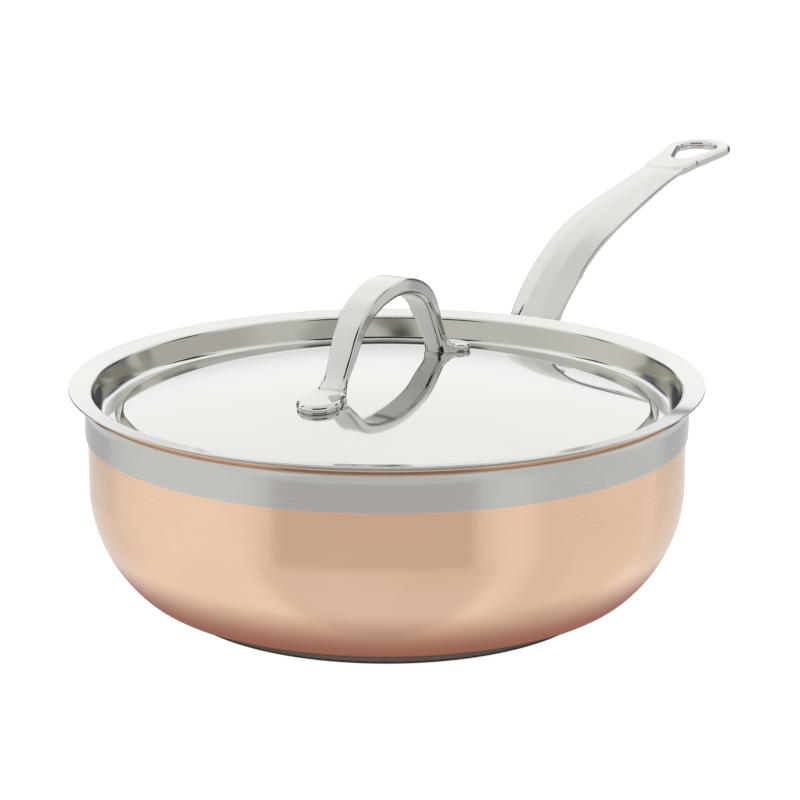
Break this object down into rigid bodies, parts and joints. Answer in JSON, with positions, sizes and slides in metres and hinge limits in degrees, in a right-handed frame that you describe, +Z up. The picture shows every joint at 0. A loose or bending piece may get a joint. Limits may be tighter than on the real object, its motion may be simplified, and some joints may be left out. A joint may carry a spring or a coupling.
{
  "type": "covered saute pan",
  "caption": "Copper-clad saute pan with a long steel handle and a drop-in steel lid with a loop handle, for cooking on a hob.",
  "frame": {"origin": "centre of the base disc's resting face", "axes": "+Z up, +X along the long handle; the XZ plane is the pan's plane of symmetry"},
  "size_m": [0.5125, 0.285, 0.1549],
  "materials": {
    "copper": null,
    "steel_polished": "mirror-polished stainless steel",
    "steel_cast": "cast stainless steel, buffed to a soft shine",
    "steel_satin": "satin stainless steel with fine lines round the pan",
    "steel_base": "magnetic stainless steel, lathe-turned and slightly dark",
    "aluminium": "bare cut edge"
  },
  "bodies": {
    "pan": {"copper_shell": "copper", "aluminium_core": "aluminium", "cooking_liner": "steel_satin", "rim_band": "steel_satin", "induction_base": "steel_base", "handle": "steel_cast", "handle_rivets": "steel_polished"},
    "lid": {"lid_panel": "steel_polished", "lid_handle": "steel_cast", "lid_rivets": "steel_polished"}
  },
  "joints": [
    {"name": "lid_lift", "type": "slide", "parent": "pan", "child": "lid", "axis": [0, 0, 1], "range_m": [0, 0.25]}
  ]
}
